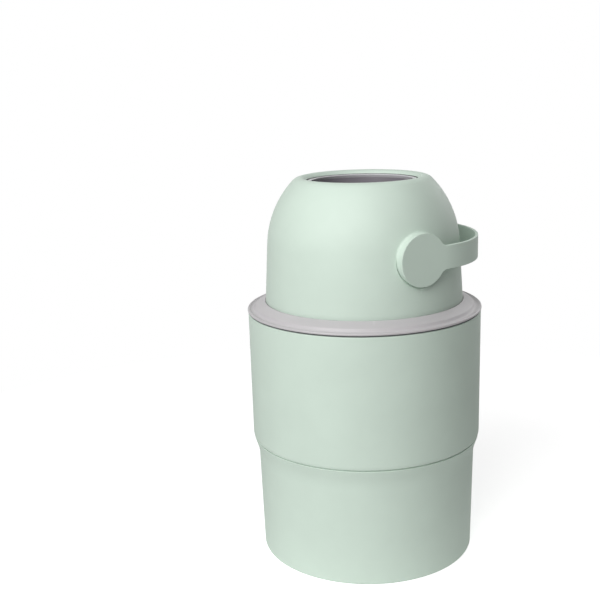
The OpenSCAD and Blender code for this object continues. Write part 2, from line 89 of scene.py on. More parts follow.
def linear(hex_colour):
    """Turns an sRGB hex colour into the linear numbers that shaders use."""
    parts = [int(hex_colour[i:i + 2], 16) / 255 for i in (1, 3, 5)]
    return tuple(p / 12.92 if p <= 0.04045 else ((p + 0.055) / 1.055) ** 2.4 for p in parts)


def add_node(tree, kind, sockets=None, **settings):
    """Adds a node, sets its fields, and fills or links its input sockets."""
    made = tree.nodes.new(kind)
    for field, value in settings.items():
        setattr(made, field, value)
    for socket, value in (sockets or {}).items():
        if isinstance(value, bpy.types.NodeSocket):
            tree.links.new(value, made.inputs[socket])
        else:
            made.inputs[socket].default_value = value
    return made


def new_material(name):
    """An empty node material with its output node."""
    material = bpy.data.materials.new(name)
    material.use_nodes = True
    material.node_tree.nodes.clear()
    output = add_node(material.node_tree, "ShaderNodeOutputMaterial")
    return material, material.node_tree, output


def noise(tree, grain_mm, detail, stretch=(1, 1, 1)):
    """Noise whose blobs measure grain_mm across, fixed to the piece."""
    place = add_node(tree, "ShaderNodeTexCoord")
    scaled = add_node(tree, "ShaderNodeMapping",
                      {"Vector": place.outputs["Object"], "Scale": stretch})
    return add_node(tree, "ShaderNodeTexNoise",
                    {"Vector": scaled.outputs[0], "Scale": 1 / (grain_mm * MM), "Detail": detail})


def remap(tree, value, low, high):
    """Spreads a noise value, which seldom leaves 0.3 to 0.7, between two limits."""
    return add_node(tree, "ShaderNodeMapRange",
                    {"Value": value, "From Min": 0.3, "From Max": 0.7,
                     "To Min": low, "To Max": high})


def moulded_plastic(name, colour, roughness, grain_mm, depth_mm, tone, ior=1.49, sheen=0.0):
    """Injection-moulded plastic: a fine even texture from the tool, and a faint drift of tone."""
    material, tree, output = new_material(name)
    # The tone drifts slowly, which keeps a large plain wall from looking painted
    drift = noise(tree, DRIFT_MM, 3)
    tint = remap(tree, drift.outputs[0], 1 - tone, 1 + tone)
    # Outer edges are drawn a little paler: a painted highlight along the sharp edges
    edge = add_node(tree, "ShaderNodeNewGeometry")
    edge_highlight = add_node(tree, "ShaderNodeMapRange",
                   {"Value": edge.outputs["Pointiness"], "From Min": 0.52, "From Max": 0.62,
                    "To Min": 0.0, "To Max": 0.12})
    lift = add_node(tree, "ShaderNodeMath",
                    {0: tint.outputs[0], 1: edge_highlight.outputs[0]}, operation="ADD")
    shade = add_node(tree, "ShaderNodeVectorMath",
                     {0: colour, "Scale": lift.outputs[0]}, operation="SCALE")
    # Wiping leaves the gloss uneven in small patches
    smear = noise(tree, SMEAR_MM, 4)
    rough = remap(tree, smear.outputs[0], roughness - 0.03, roughness + 0.03)
    # The tool's texture spreads the highlights
    grain = noise(tree, grain_mm, 3)
    bump = add_node(tree, "ShaderNodeBump",
                    {"Height": grain.outputs[0], "Strength": 0.35, "Distance": depth_mm * MM})
    shader = add_node(tree, "ShaderNodeBsdfPrincipled",
                      {"Base Color": shade.outputs[0], "Roughness": rough.outputs[0],
                       "Normal": bump.outputs[0], "IOR": ior, "Sheen Weight": sheen})
    tree.links.new(shader.outputs[0], output.inputs[0])
    return material


def zinc_plated_steel():
    """Turned steel with a bright zinc coat: fine rings of tool marks and a soft cool shine."""
    material, tree, output = new_material("steel_turned_zinc_plated")
    # Marks 0.9 mm long, and a fifth of that from one to the next
    marks = noise(tree, 0.9, 4, (1, 1, 5))
    rough = remap(tree, marks.outputs[0], 0.28, 0.44)
    bump = add_node(tree, "ShaderNodeBump",
                    {"Height": marks.outputs[0], "Strength": 0.3, "Distance": 0.02 * MM})
    shader = add_node(tree, "ShaderNodeBsdfPrincipled",
                      {"Base Color": (*linear("#c9ccd0"), 1), "Metallic": 1.0,
                       "Roughness": rough.outputs[0], "Normal": bump.outputs[0]})
    tree.links.new(shader.outputs[0], output.inputs[0])
    return material


def finishes(colours):
    """Every finish on the bin, by the record's slot name."""
    return {
        # Spark-eroded satin: the real grain is 0.15 mm, drawn at 1.1 mm so that it shows
        "sage_plastic": moulded_plastic(
            "polypropylene_spark_eroded_sage", colours.shell,
            roughness=0.55, grain_mm=1.1, depth_mm=0.05, tone=0.02),
        # The same tool texture, a little finer, on the grey collar
        "collar_plastic": moulded_plastic(
            "polypropylene_spark_eroded_grey", colours.collar,
            roughness=0.42, grain_mm=0.9, depth_mm=0.04, tone=0.02),
        # A smoother ring that catches a thin line of light
        "light_grey_plastic": moulded_plastic(
            "abs_moulded_light_grey", colours.ring,
            roughness=0.36, grain_mm=1.4, depth_mm=0.03, tone=0.02),
        # Smooth inside of the chute, with faint streaks of wiping
        "chute_plastic": moulded_plastic(
            "polypropylene_moulded_mauve_grey", colours.chute,
            roughness=0.38, grain_mm=2.5, depth_mm=0.04, tone=0.05),
        # Soft lip seals: dull, with a dusty bloom at a low angle
        "seal_rubber": moulded_plastic(
            "elastomer_moulded_dark_grey", colours.seal,
            roughness=0.72, grain_mm=1.5, depth_mm=0.06, tone=0.05, ior=1.52, sheen=0.15),
        "steel": zinc_plated_steel(),
        # Waxy natural nylon for bushes and axles
        "nylon": moulded_plastic(
            "nylon_moulded_natural", colours.nylon,
            roughness=0.4, grain_mm=1.2, depth_mm=0.03, tone=0.03, ior=1.53),
    }


def material_for(slot):
    """The finish of a slot, made once."""
    made = bpy.context.scene.get("bin_finishes")
    if made is None:
        table = finishes(bpy.context.scene.bin_colours)
        made = {name: material.name for name, material in table.items()}
        bpy.context.scene["bin_finishes"] = made
    return bpy.data.materials[made[slot]]


def give_finish(piece, slot):
    """Puts the finish of a slot on a piece, in place of any other."""
    piece.data.materials.clear()
    piece.data.materials.append(material_for(slot))


def stand_for(piece, node, slot):
    """The piece replaces a frame node and rides on the same body."""
    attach(piece, frame["nodes"][node]["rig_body"])
    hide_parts(node)
    give_finish(piece, slot)


# ---- Curves ----

def ease(t):
    """Goes softly from 0 to 1 as t does, and stays level outside."""
    t = min(max(t, 0), 1)
    return t * t * (3 - 2 * t)


def swing(start, end, part):
    """The vector start, turned towards end by a part of the angle between them."""
    sweep = start.angle(end)
    return (start * math.sin((1 - part) * sweep) + end * math.sin(part * sweep)) / math.sin(sweep)


def circle(radius, count):
    """Points evenly spaced on a circle about the origin."""
    angles = [2 * math.pi * i / count for i in range(count)]
    return [(radius * math.cos(a), radius * math.sin(a)) for a in angles]


def arc(centre, radius, start, end, steps):
    """Points on an arc in (radius, height), between two angles in degrees."""
    found = []
    for k in range(steps + 1):
        angle = math.radians(start + (end - start) * k / steps)
        found.append((centre[0] + radius * math.cos(angle), centre[1] + radius * math.sin(angle)))
    return found


def rounded(corners, steps=7, guard=0.4 * MM, share=0.45):
    """A closed section whose corners (radius, height, round) are turned into arcs.

    An arc takes up at most a share of each side. A guard point beside it keeps the shading
    of the long faces flat."""
    line = []
    count = len(corners)
    for i, (r, z, fillet) in enumerate(corners):
        here = Vector((r, z))
        back = Vector(corners[i - 1][:2]) - here
        ahead = Vector(corners[(i + 1) % count][:2]) - here
        half = back.angle(ahead) / 2
        reach = min(fillet / math.tan(half), share * back.length, share * ahead.length)
        if reach < TINY:
            line.append(here)
            continue
        back.normalize()
        ahead.normalize()
        radius = reach * math.tan(half)
        centre = here + (back + ahead).normalized() * (radius / math.sin(half))
        start, end = here + back * reach - centre, here + ahead * reach - centre
        line.append(here + back * (reach + guard))
        line += [centre + swing(start, end, k / steps) for k in range(steps + 1)]
        line.append(here + ahead * (reach + guard))
    return [tuple(p) for p in line]


def in_metres(section):
    """Takes (radius, height, round) rows in millimetres to metres."""
    return [tuple(v * MM for v in row) for row in section]


def as_drawn(points):
    """Arc points that go into a section as they are, without a round of their own."""
    return [(r, z, 0) for r, z in points]


# ---- Making meshes ----

def mesh_object(name, points, faces, crease=CREASE):
    """A smooth closed mesh object, with hard edges only where it turns sharply."""
    mesh = bpy.data.meshes.new(name)
    mesh.from_pydata([tuple(p) for p in points], [], faces)
    shape = bmesh.new()
    shape.from_mesh(mesh)
    bmesh.ops.recalc_face_normals(shape, faces=shape.faces)
    shape.to_mesh(mesh)
    shape.free()
    mesh.polygons.foreach_set("use_smooth", [True] * len(mesh.polygons))
    mesh.set_sharp_from_angle(angle=math.radians(crease))
    made = bpy.data.objects.new(name, mesh)
    bpy.context.scene.collection.objects.link(made)
    return made


def distinct(corners):
    """The corners of a face in order, each of them once."""
    return list(dict.fromkeys(corners))


def loops_to_faces(rings, around, wrap=True):
    """Quads that join rings of equal length, and the last ring to the first where wrap is set."""
    faces = []
    for k in range(rings if wrap else rings - 1):
        a, b = k * around, ((k + 1) % rings) * around
        for i in range(around):
            j = (i + 1) % around
            faces.append((a + i, a + j, b + j, b + i))
    return faces


def lathe(name, section, lift=0.0, turns=256):
    """Turns a closed section of (radius, height) about the Z axis."""
    points, rows, faces = [], [], []
    for r, z in section:
        if r < TINY:
            rows.append([len(points)] * turns)
            points.append((0, 0, z + lift))
        else:
            rows.append(range(len(points), len(points) + turns))
            points += [(x, y, z + lift) for x, y in circle(r, turns)]
    for k, row in enumerate(rows):
        after = rows[(k + 1) % len(rows)]
        for i in range(turns):
            j = (i + 1) % turns
            corners = distinct((row[i], row[j], after[j], after[i]))
            if len(corners) > 2:
                faces.append(corners)
    return mesh_object(name, points, faces)


def join(base, *others):
    """Puts several closed meshes into one object."""
    shape = bmesh.new()
    for piece in (base, *others):
        shape.from_mesh(piece.data)
    shape.to_mesh(base.data)
    shape.free()
    for piece in others:
        bpy.data.objects.remove(piece)
    return base


# ---- Sizes shared by the pieces, in metres, as in the frame ----

# Heights of the pivot's axis and of the dome's foot
PIVOT_Z = 375.5 * MM
FOOT_Z = 312.2 * MM
FOOT_DROP = PIVOT_Z - FOOT_Z

# Dome: radii of the round part and at the foot, and the wall
DOME_R = 114.6 * MM
DOME_FOOT_R = 118.6 * MM
DOME_WALL = 3 * MM
# Mouth: its radius, the rounds of brow and rolled lip, and where the roll ends, in degrees
MOUTH_R = 66.8 * MM
BROW = 13.5 * MM
LIP = 6.6 * MM
LIP_END = 160
# Crest of the mouth, and the angles in degrees at which the dome's round part ends
CREST_R = MOUTH_R - LIP * math.cos(math.radians(LIP_END))
BROW_Z = math.sqrt((DOME_R - BROW) ** 2 - CREST_R ** 2)
BROW_ANGLE = math.degrees(math.atan2(BROW_Z, CREST_R))
CONE_ANGLE = math.degrees(math.acos(DOME_R / math.hypot(DOME_FOOT_R, FOOT_DROP))
                          - math.atan2(FOOT_DROP, DOME_FOOT_R))

# Pivot pads: radius, face and back, and the groove with its middle below the pivot
PAD_R = 29.5 * MM
PAD_FACE = 117.1 * MM
PAD_BACK = 106.6 * MM
GROOVE_R = 30.1 * MM
GROOVE_DROP = 1.9 * MM
# Bore for the bush, and the hub round it
BORE_R = 12.1 * MM
HUB_R = 22.55 * MM
HUB_FACE = 105.03 * MM
# Beside a pad the dome's skin lies between these two along the pivot's axis
SKIN_NEAR = 90 * MM
SKIN_FAR = 130 * MM

# Handle: discs and band, and the neck's round between them
DISC_FACE = 121.5 * MM
DISC_R = 30.2 * MM
DISC_THICK = 4 * MM
BAND_H = 27 * MM
BAND_THICK = 3.4 * MM
NECK = 11 * MM
# The thickness changes from here, counted from the disc's middle, and over this length
THIN_FROM = 24 * MM
THIN_OVER = 10 * MM
# Plan of the band: straight to BEND_Y, then an eighth of a turn, then a wider arc at the back
BEND_R = 100 * MM
BEND_Y = 28.5 * MM
BAND_SHIFT = (DISC_FACE - BEND_R) / math.cos(math.radians(45))
BACK_R = BEND_R + BAND_SHIFT
BACK_Y = BEND_Y - BAND_SHIFT * math.sin(math.radians(45))

# Hinge: the pin's place and radius, the play in the moving bore, and the knuckles
HINGE_Y = 146.2 * MM
HINGE_Z = 293.3 * MM
PIN_R = 2 * MM
PIN_PLAY = 0.05 * MM
KNUCKLE_R = 4.5 * MM

# Sizes in the sections of bucket and collar, in millimetres
RIM_R = 140
BASE_R = 129.9
SHOULDER_ROUND = 60


# ---- Bucket, collar and mouth rings ----

def tub_section():
    """Tub with a round foot, a soft shoulder and the neck that the barrel sits on."""
    return rounded(in_metres([
        (0, 0, 0), (38.8, 0, 0.4), (38.8, 1, 0.4), (115.3, 1, 0.4), (115.3, 0, 0.8),
        (BASE_R, 0, 3), (132.9, 127, SHOULDER_ROUND), (138.4, 143.5, 0.6),
        (136.4, 143.5, 0.1), (136.4, 172.5, 0.8), (133.8, 172.5, 0.8), (133.8, 143.5, 3),
        (130.3, 128, 20), (126.7, 3, 4), (0, 3, 0)]))


def barrel_section():
    """Barrel with a rounded lower edge, a ledge for the bag ring and a thin top rim."""
    return rounded(in_metres([
        (136.6, 145.1, 0.1), (138.6, 145.1, 0.7), (139.2, 148.5, 9), (RIM_R, 299.5, 1.2),
        (137.4, 299.5, 0.9), (137.4, 275, 0.8), (127.9, 275, 0.5), (127.9, 272, 0.5),
        (137.3, 263.2, 2), (136.6, 148.5, 3)]))


def collar_section():
    """Collar with a full-round edge, a cove behind it and a slope up to the dome's foot."""
    lower_edge = arc((139.9, 302.1), 0.9, 270, 360, 5)
    bead = arc((139.1, 302.4), 1.7, 0, 132, 16)
    cove = arc((135.5, 306.5), 3.7, 308, 214, 14)
    return rounded(in_metres(
        [(106.4, 312.2, 0.3), (106.4, 309.6, 0.3), (118.2, 309.6, 1.5), (131.9, 300.9, 1),
         (131.9, 290.7, 0.8), (134.5, 290.7, 0.8), (134.5, 302, 0.4), (139.9, 302, 0.1)]
        + as_drawn(lower_edge + bead + cove)
        + [(131.1, 307.0, 3), (119.6, 312.7, 0.5), (118.75, 312.2, 0.1), (118.75, 311.0, 0.1),
           (117.6, 311.0, 0.1), (117.6, 312.2, 0.1)]))


def mouth_ring_section():
    """Rim of the chute's upper end, undercut below its inner edge; heights are from the pivot."""
    return rounded(in_metres(
        [(65.3, 74.85, 0.1), (65.3, 78.8, 1.1), (60.9, 78.8, 0.9), (60.9, 77.5, 0.4),
         (62.35, 74.85, 0.1)]))


# ---- Hinge ----

def outline_reach(outline, way):
    """How far an outline of (y, z) points about the pin lies in one direction."""
    reach = KNUCKLE_R
    for i, end in enumerate(outline):
        a, b = Vector(outline[i - 1]), Vector(end)
        side = b - a
        cross = way.x * side.y - way.y * side.x
        if abs(cross) < TINY:
            continue
        along = (a.x * side.y - a.y * side.x) / cross
        part = (a.x * way.y - a.y * way.x) / cross
        if along > reach and -TINY <= part <= 1 + TINY:
            reach = along
    return reach


def knuckle(name, outline, left, right, bore, around=120, edge=0.5 * MM):
    """One hinge knuckle: a plate about the pin with a bore and a small round on its edges."""
    levels = [(left, edge), (left + 0.3 * edge, 0.3 * edge), (left + edge, 0),
              (right - edge, 0), (right - 0.3 * edge, 0.3 * edge), (right, edge)]
    points = []
    for x, inset in levels:
        for cosine, sine in circle(1, around):
            reach = outline_reach(outline, Vector((cosine, sine))) - inset
            points.append((x, HINGE_Y + reach * cosine, HINGE_Z + reach * sine))
    for x in (right, left):
        points += [(x, HINGE_Y + y, HINGE_Z + z) for y, z in circle(bore, around)]
    return mesh_object(name, points, loops_to_faces(len(levels) + 2, around))


def hinge_ears():
    """The bucket's two fixed knuckles, each with a gusset down its wall."""
    root = RIM_R * MM - 1.6 * MM - HINGE_Y
    gusset, slope = 14 * MM, math.radians(35)
    near, far = 11.8 * MM, 20.8 * MM
    outline = [(root, -gusset), (root, KNUCKLE_R), (0, KNUCKLE_R),
               (KNUCKLE_R * math.cos(slope), -KNUCKLE_R * math.sin(slope))]
    return [knuckle("ear", outline, left, right, PIN_R)
            for left, right in ((-far, -near), (near, far))]


def hinge_leaf():
    """The head's knuckle and the arm that joins it to the collar's edge."""
    half = 11.5 * MM
    corners = ((140.9, 293.3), (140.9, 301.2), (139.9, 302.1), (140.2, 303.2), (142.2, 303.2),
               (150.7, 294.3), (150.7, 293.3))
    outline = [(y * MM - HINGE_Y, z * MM - HINGE_Z) for y, z in corners]
    return knuckle("leaf", outline, -half, half, PIN_R + PIN_PLAY)


# ---- Dome and its pads ----

def dome_distance(x, y, z):
    """How far a point about the pivot lies outside the dome's skin, and the skin's normal there."""
    out = math.hypot(x, y)
    cone = math.radians(CONE_ANGLE)
    if math.atan2(z, out) < cone:
        normal = Vector((x / out * math.cos(cone), y / out * math.cos(cone), math.sin(cone)))
        return out * math.cos(cone) + z * math.sin(cone) - DOME_R, normal
    point = Vector((x, y, z))
    return point.length - DOME_R, point.normalized()


def dome_wall(rises=12):
    """The dome's wall: cone, round part, brow and rolled lip, with the land for its seal."""
    crest_z = BROW_Z + BROW
    roll_z = crest_z - LIP
    under_z = crest_z - DOME_WALL
    cone = math.radians(CONE_ANGLE)
    top = (DOME_R * math.cos(cone), DOME_R * math.sin(cone))
    low = (DOME_FOOT_R, -FOOT_DROP)
    # A small round at the foot's outer edge, then the cone
    foot = [(DOME_FOOT_R - inset * MM, -FOOT_DROP + up * MM)
            for inset, up in ((0.5, 0), (0.15, 0.1), (0.03, 0.5))]
    rise = [(low[0] + (top[0] - low[0]) * k / rises, low[1] + (top[1] - low[1]) * k / rises)
            for k in range(1, rises)]
    # The land is a flat step inside the brow
    land_r = MOUTH_R + 5.4 * MM
    land_end = land_r + 4.6 * MM
    land_z = under_z - 2 * MM
    section = (
        foot + rise
        + arc((0, 0), DOME_R, CONE_ANGLE, BROW_ANGLE, 40)
        + arc((CREST_R, BROW_Z), BROW, BROW_ANGLE, 90, 22)[1:]
        + arc((CREST_R, roll_z), LIP, 90, LIP_END, 22)[1:]
        + arc((CREST_R, roll_z), LIP - DOME_WALL, LIP_END, 105, 8)
        + [(land_r, under_z - 0.3 * MM), (land_r, land_z),
           (land_end, land_z), (land_end, under_z - 0.5 * MM)]
        + arc((CREST_R, BROW_Z), BROW - DOME_WALL, 60, BROW_ANGLE, 6)
        + arc((0, 0), DOME_R - DOME_WALL, BROW_ANGLE, CONE_ANGLE, 24)[1:]
        + [(DOME_FOOT_R - DOME_WALL, -FOOT_DROP)]
    )
    return lathe("dome_wall", section, PIVOT_Z)


def cut_bore(wall, side, around=144):
    """Opens the dome's wall behind a pad, a little below the pad's middle."""
    points = [(side * x, y, PIVOT_Z - GROOVE_DROP + z)
              for x in (SKIN_NEAR, SKIN_FAR) for y, z in circle(GROOVE_R, around)]
    faces = loops_to_faces(2, around, wrap=False)
    faces += [tuple(range(around)), tuple(range(around, 2 * around))]
    cutter = mesh_object("bore_cutter", points, faces)
    cut = wall.modifiers.new("bore", "BOOLEAN")
    cut.operation, cut.object, cut.solver = "DIFFERENCE", cutter, "EXACT"
    with bpy.context.temp_override(object=wall, active_object=wall, selected_objects=[wall]):
        bpy.ops.object.modifier_apply(modifier=cut.name)
    wall.data.set_sharp_from_angle(angle=math.radians(CREASE))
    bpy.data.objects.remove(cutter)


def skin_reach(y, z, height, halvings=40):
    """How far out along the pivot axis a point lies at this height over the dome's skin."""
    low, high = SKIN_NEAR, SKIN_FAR
    for _ in range(halvings):
        x = (low + high) / 2
        if dome_distance(x, y, z)[0] < height:
            low = x
        else:
            high = x
    return x


def spoke(rows, cosine, sine):
    """Takes rows of (way along the pivot's axis, radius) to points in one direction about it."""
    return [Vector((x, r * cosine, r * sine)) for x, r in rows]


def pivot_pad(side, softness, groove_depth, around=144, steps=8):
    """A flat pad that melts into the dome above and stands in a shallow groove below."""
    # Round of the pad's edge and the guard beside it, then the tightest and the least fillet
    edge, guard, tight, least = 0.4 * MM, 0.3 * MM, 0.3 * MM, 0.1 * MM
    # Root in the dome's wall: its radius, its least depth below the skin, and its thickness
    root_r, root_depth, root_wall = PAD_R + 5 * MM, 0.8 * MM, 0.6 * MM
    face = [(PAD_FACE, BORE_R), (PAD_FACE, PAD_R - edge - guard)]
    face += arc((PAD_FACE - edge, PAD_R - edge), edge, 0, 90, 3)
    back = [(PAD_BACK, PAD_R - 1 * MM), (PAD_BACK, HUB_R), (HUB_FACE, HUB_R), (HUB_FACE, BORE_R)]
    columns = []
    for cosine, sine in circle(1, around):
        # The groove gives way to the fillet over the middle of the pad's height
        soft = ease((sine + 0.3) / 0.6)
        depth = groove_depth * (1 - soft)
        fillet = tight + (softness - tight) * soft
        # The fillet shrinks until it stays clear of the round on the pad's edge
        while True:
            y, z = (PAD_R + fillet) * cosine, (PAD_R + fillet) * sine
            x = skin_reach(y, z, fillet - depth)
            if x <= PAD_FACE - 1.2 * edge or fillet <= least:
                break
            fillet *= 0.9
        centre, normal = Vector((x, y, z)), dome_distance(x, y, z)[1]
        inward = Vector((0, -cosine, -sine))
        wide = skin_reach(root_r * cosine, root_r * sine, -max(depth, root_depth))
        root = [(wide, root_r), (wide - root_wall, root_r)]
        columns.append(spoke(face, cosine, sine)
                       + [centre + swing(inward, -normal, k / steps) * fillet
                          for k in range(steps + 1)]
                       + spoke(root + back, cosine, sine))
    rings = len(columns[0])
    points = [(side * column[k].x, column[k].y, column[k].z + PIVOT_Z)
              for k in range(rings) for column in columns]
    return mesh_object("pivot_pad", points, loops_to_faces(rings, around))


# ---- Handle ----

def handle_outline(steps_disc=48, steps_neck=16, steps_band=150):
    """Upper edge of the unrolled handle, as (way along, half height), and its total way."""
    meet = math.sqrt((DISC_R + NECK) ** 2 - (BAND_H / 2 + NECK) ** 2)
    tangent = math.degrees(math.atan2(BAND_H / 2 + NECK, meet))
    total = 2 * (BEND_Y + BEND_R * math.pi / 4) + BACK_R * math.pi / 2
    half = arc((0, 0), DISC_R, 180, tangent, steps_disc)
    half += arc((meet, BAND_H / 2 + NECK), NECK, 180 + tangent, 270, steps_neck)[1:]
    middle = [(meet + (total - 2 * meet) * k / steps_band, BAND_H / 2)
              for k in range(1, steps_band)]
    other = [(total - s, z) for s, z in reversed(half)]
    return half + middle + other, total


def on_handle_path(way, total):
    """Point on the handle's outer face in plan and the outward direction there."""
    mirror = 1
    if way > total / 2:
        way, mirror = total - way, -1
    if way <= BEND_Y:
        point, out = (DISC_FACE, way), (1, 0)
    else:
        angle = (way - BEND_Y) / BEND_R
        if angle <= math.pi / 4:
            centre, radius = (DISC_FACE - BEND_R, BEND_Y), BEND_R
        else:
            angle = math.pi / 4 + (way - BEND_Y - BEND_R * math.pi / 4) / BACK_R
            centre, radius = (0, BACK_Y), BACK_R
        out = (math.cos(angle), math.sin(angle))
        point = (centre[0] + radius * out[0], centre[1] + radius * out[1])
    return (mirror * point[0], point[1]), (mirror * out[0], out[1])


def handle_thickness(way, total):
    """Full through the discs and a little less through the band, with a soft change."""
    change = ease((min(way, total - way) - THIN_FROM) / THIN_OVER)
    return DISC_THICK - (DISC_THICK - BAND_THICK) * change


def handle(edge):
    """One moulding: two discs and the band, with the same round along every edge."""
    upper, total = handle_outline()
    outline = upper + [(s, -z) for s, z in reversed(upper[1:-1])]
    count = len(outline)
    outward = []
    for i in range(count):
        before, after = Vector(outline[i - 1]), Vector(outline[(i + 1) % count])
        along = (after - before).normalized()
        outward.append(Vector((-along.y, along.x)))
    # Rows of (inset, depth) from the face round the edge to the side, with a guard at each end
    front = [(edge + 1.5 * MM, 0.0), *arc((edge, edge), edge, 270, 180, 6), (0.0, edge + 0.3 * MM)]
    levels = [(inset, drop, False) for inset, drop in front]
    levels += [(inset, drop, True) for inset, drop in reversed(front)]
    points = []
    for inset, drop, behind in levels:
        for (s, z), out in zip(outline, outward):
            way, height = s - out.x * inset, z - out.y * inset
            depth = handle_thickness(way, total) - drop if behind else drop
            (x, y), (nx, ny) = on_handle_path(way, total)
            points.append((x - nx * depth, y - ny * depth, PIVOT_Z + height))
    rings = len(levels)
    faces = loops_to_faces(rings, count, wrap=False)
    # Strips between the upper edge and its mirror below fill the outer and the inner face
    for base in (0, (rings - 1) * count):
        for a in range(len(upper) - 1):
            b = a + 1
            corners = distinct((a, b, (count - b) % count, (count - a) % count))
            faces.append([base + v for v in corners])
    return mesh_object("handle_moulding", points, faces, HANDLE_CREASE)


# ---- Studio ----

def lay_floor(radius=0.9, corners=64):
    """An opal light table: white, lit from below near the bin, with a faint shadow."""
    # Level that the camera sees, and light from below that fades between two distances
    seen_level, under_level, near, far = 0.72, 0.24, 0.12, 0.5
    material, tree, output = new_material("acrylic_opal_lit")
    seen = add_node(tree, "ShaderNodeLightPath")
    matt = add_node(tree, "ShaderNodeBsdfDiffuse", {"Color": (0.8, 0.8, 0.8, 1)})
    place = add_node(tree, "ShaderNodeTexCoord")
    away = add_node(tree, "ShaderNodeVectorMath", {0: place.outputs["Object"]}, operation="LENGTH")
    under = add_node(tree, "ShaderNodeMapRange",
                     {"Value": away.outputs["Value"], "From Min": near, "From Max": far,
                      "To Min": under_level, "To Max": 0.0})
    level = add_node(tree, "ShaderNodeMix",
                     {"Factor": seen.outputs["Is Camera Ray"], "A": under.outputs[0],
                      "B": seen_level})
    glow = add_node(tree, "ShaderNodeEmission",
                    {"Color": (1, 1, 1, 1), "Strength": level.outputs[0]})
    both = add_node(tree, "ShaderNodeAddShader", {0: matt.outputs[0], 1: glow.outputs[0]})
    tree.links.new(both.outputs[0], output.inputs[0])
    rim = [(x, y, 0) for x, y in circle(radius, corners)]
    floor = mesh_object("floor", rim, [tuple(range(corners))])
    floor.data.materials.append(material)


def light_world(sky):
    """White to look at, and an even soft light on the bin."""
    world = bpy.data.worlds.new("studio")
    bpy.context.scene.world = world
    world.use_nodes = True
    tree = world.node_tree
    tree.nodes.clear()
    seen = add_node(tree, "ShaderNodeLightPath")
    direct = add_node(tree, "ShaderNodeMath",
                      {0: seen.outputs["Is Camera Ray"], 1: seen.outputs["Is Transmission Ray"]},
                      operation="MAXIMUM")
    mirrored = add_node(tree, "ShaderNodeMath",
                        {0: direct.outputs[0], 1: seen.outputs["Is Glossy Ray"]},
                        operation="MAXIMUM")
    level = add_node(tree, "ShaderNodeMapRange",
                     {"Value": mirrored.outputs[0], "To Min": sky, "To Max": 1.0})
    light = add_node(tree, "ShaderNodeBackground",
                     {"Color": (1, 1, 1, 1), "Strength": level.outputs[0]})
    output = add_node(tree, "ShaderNodeOutputWorld")
    tree.links.new(light.outputs[0], output.inputs[0])


def hang_lamp(name, place, target, size, power):
    """A square soft lamp of this size in metres, turned towards a point."""
    data = bpy.data.lights.new(name, "AREA")
    data.shape, data.size, data.energy = "SQUARE", size, power
    lamp = bpy.data.objects.new(name, data)
    bpy.context.scene.collection.objects.link(lamp)
    way = Vector(target) - Vector(place)
    lamp.matrix_world = (Matrix.Translation(place)
                         @ way.to_track_quat("-Z", "Y").to_matrix().to_4x4())


def place_camera(lens):
    """The camera stands to the right of the handle's front and looks a little down."""
    # Fitted to the photograph, with the small angles in radians
    distance, height = 1183.06 * MM, 586.51 * MM
    pitch, yaw, roll = 0.229525, -0.0653322, -0.0292659
    turn = math.radians(56.54)
    right = Vector((math.cos(yaw), -math.sin(yaw), 0))
    ahead = Vector((math.sin(yaw) * math.cos(pitch), math.cos(yaw) * math.cos(pitch),
                    -math.sin(pitch)))
    above = Vector((math.sin(yaw) * math.sin(pitch), math.cos(yaw) * math.sin(pitch),
                    math.cos(pitch)))
    x = right * math.cos(roll) + above * math.sin(roll)
    y = above * math.cos(roll) - right * math.sin(roll)
    facing = Matrix((x, y, -ahead)).transposed().to_4x4()
    data = bpy.data.cameras.new("camera")
    data.lens, data.sensor_width, data.clip_start = lens, 36, 0.01
    camera = bpy.data.objects.new("camera", data)
    bpy.context.scene.collection.objects.link(camera)
    camera.matrix_world = (Matrix.Rotation(turn, 4, "Z")
                           @ Matrix.Translation((0, -distance, height)) @ facing)
    bpy.context.scene.camera = camera


# ---- Settings ----

class BinSizes(bpy.types.PropertyGroup):
    pad_fillet: bpy.props.FloatProperty(
        name="Pad fillet", description="Radius where the top of a pivot pad melts into the dome",
        default=3 * MM, min=0.5 * MM, max=6 * MM, unit="LENGTH")
    pad_groove: bpy.props.FloatProperty(
        name="Pad groove", description="Depth of the groove under each pivot pad",
        default=2.1 * MM, min=0.5 * MM, max=2.3 * MM, unit="LENGTH")
    handle_edge: bpy.props.FloatProperty(
        name="Handle edge", description="Round along the edges of the handle",
        default=0.7 * MM, min=0.5 * MM, max=1.4 * MM, unit="LENGTH")


class BinColours(bpy.types.PropertyGroup):
    shell: bpy.props.FloatVectorProperty(
        name="Shell", description="Sage plastic of bucket, dome and handle",
        subtype="COLOR", default=linear("#cbdbcf"))
    collar: bpy.props.FloatVectorProperty(
        name="Collar", description="Grey plastic of the collar",
        subtype="COLOR", default=linear("#bcb9bb"))
    ring: bpy.props.FloatVectorProperty(
        name="Rings", description="Light grey plastic of the mouth rings",
        subtype="COLOR", default=linear("#cbcacd"))
    chute: bpy.props.FloatVectorProperty(
        name="Chute", description="Dark plastic of drum and chute",
        subtype="COLOR", default=linear("#767278"))
    seal: bpy.props.FloatVectorProperty(
        name="Seals", description="Soft lip seals and gasket",
        subtype="COLOR", default=linear("#4c4f50"))
    nylon: bpy.props.FloatVectorProperty(
        name="Nylon", description="Bushes and axles",
        subtype="COLOR", default=linear("#ebe7de"))


